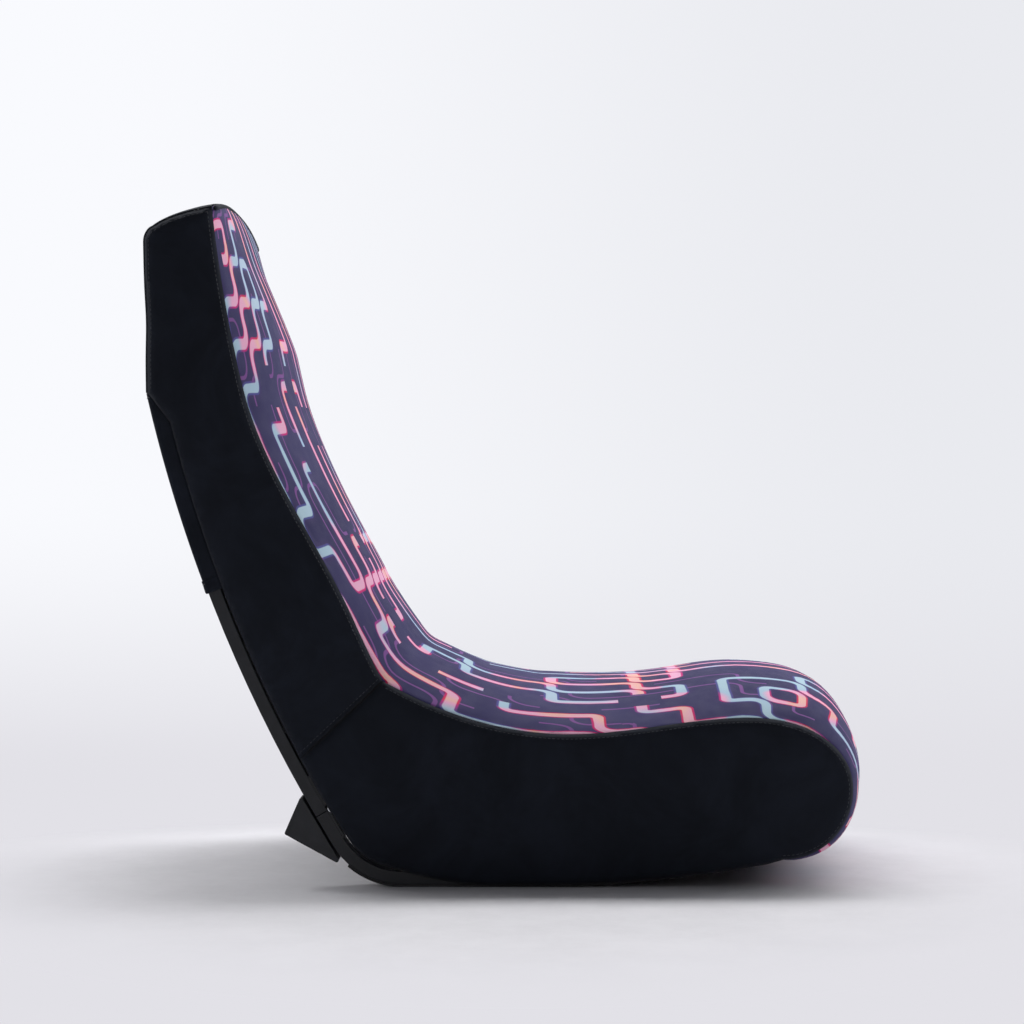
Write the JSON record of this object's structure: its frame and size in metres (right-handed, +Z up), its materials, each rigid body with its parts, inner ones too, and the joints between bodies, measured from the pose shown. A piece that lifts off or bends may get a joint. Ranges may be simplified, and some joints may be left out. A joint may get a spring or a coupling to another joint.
{
  "type": "gaming rocker chair",
  "caption": "Folding floor rocker: an upholstered L-shaped seat and back on bent tubular runners, with a neon-line print, black sides, a rear pocket and anti-tip feet.",
  "frame": {"origin": "on the floor under the middle of the bounding box", "axes": "+X to the sitter's left, +Y towards the back of the chair, +Z up"},
  "size_m": [0.425, 0.7515, 0.7118],
  "materials": {
    "rail_steel": "charcoal powder coat, satin",
    "bracket_steel": "black powder coat, satin",
    "zinc_steel": "zinc plated",
    "glide_rubber": "matt",
    "plug_plastic": "moulded, matt",
    "foot_plastic": "moulded, matt",
    "plywood": "raw plywood",
    "dust_fabric": "thin non-woven",
    "black_suede": "short-nap suede-like",
    "printed_fabric": "woven polyester with a printed pattern",
    "foam": "open-cell foam"
  },
  "bodies": {
    "base": {"base_rail_left": "rail_steel", "base_rail_right": "rail_steel", "glide_strip_left": "glide_rubber", "glide_strip_right": "glide_rubber", "base_cross_rear": "rail_steel", "base_cross_front": "rail_steel", "runner_plugs": "plug_plastic", "hinge_leaf_base_left": "bracket_steel", "hinge_leaf_base_right": "bracket_steel", "hinge_pins": "zinc_steel", "seat_board": "plywood", "seat_bolts": "zinc_steel", "seat_tee_nuts": "zinc_steel", "dust_cover": "dust_fabric", "under_panel": "black_suede", "seat_foam": "foam", "seat_side_panel_left": "black_suede", "seat_side_panel_right": "black_suede", "printed_cover": "printed_fabric", "corner_foam": "foam"},
    "backrest": {"back_rail_left": "rail_steel", "back_rail_right": "rail_steel", "back_cross_top": "rail_steel", "back_cross_mid": "rail_steel", "back_rail_plugs": "plug_plastic", "hinge_leaf_back_left": "bracket_steel", "hinge_leaf_back_right": "bracket_steel", "foot_bracket_left": "bracket_steel", "foot_bracket_right": "bracket_steel", "tip_foot_left": "foot_plastic", "tip_foot_right": "foot_plastic", "foot_screws": "zinc_steel", "back_board": "plywood", "back_lining": "black_suede", "back_foam": "foam", "head_pad": "foam", "head_foam": "foam", "head_rear_panel": "black_suede", "back_side_panel_left": "black_suede", "back_side_panel_right": "black_suede", "rear_pocket": "black_suede", "pocket_hem": "black_suede"}
  },
  "joints": [
    {"name": "fold", "type": "hinge", "parent": "base", "child": "backrest", "pos_m": [0, 0.18763, 0.0806], "axis": [1, 0, 0], "range_deg": [0, 60], "deforming": ["printed_cover", "corner_foam", "back_side_panel_left", "back_side_panel_right"]}
  ]
}
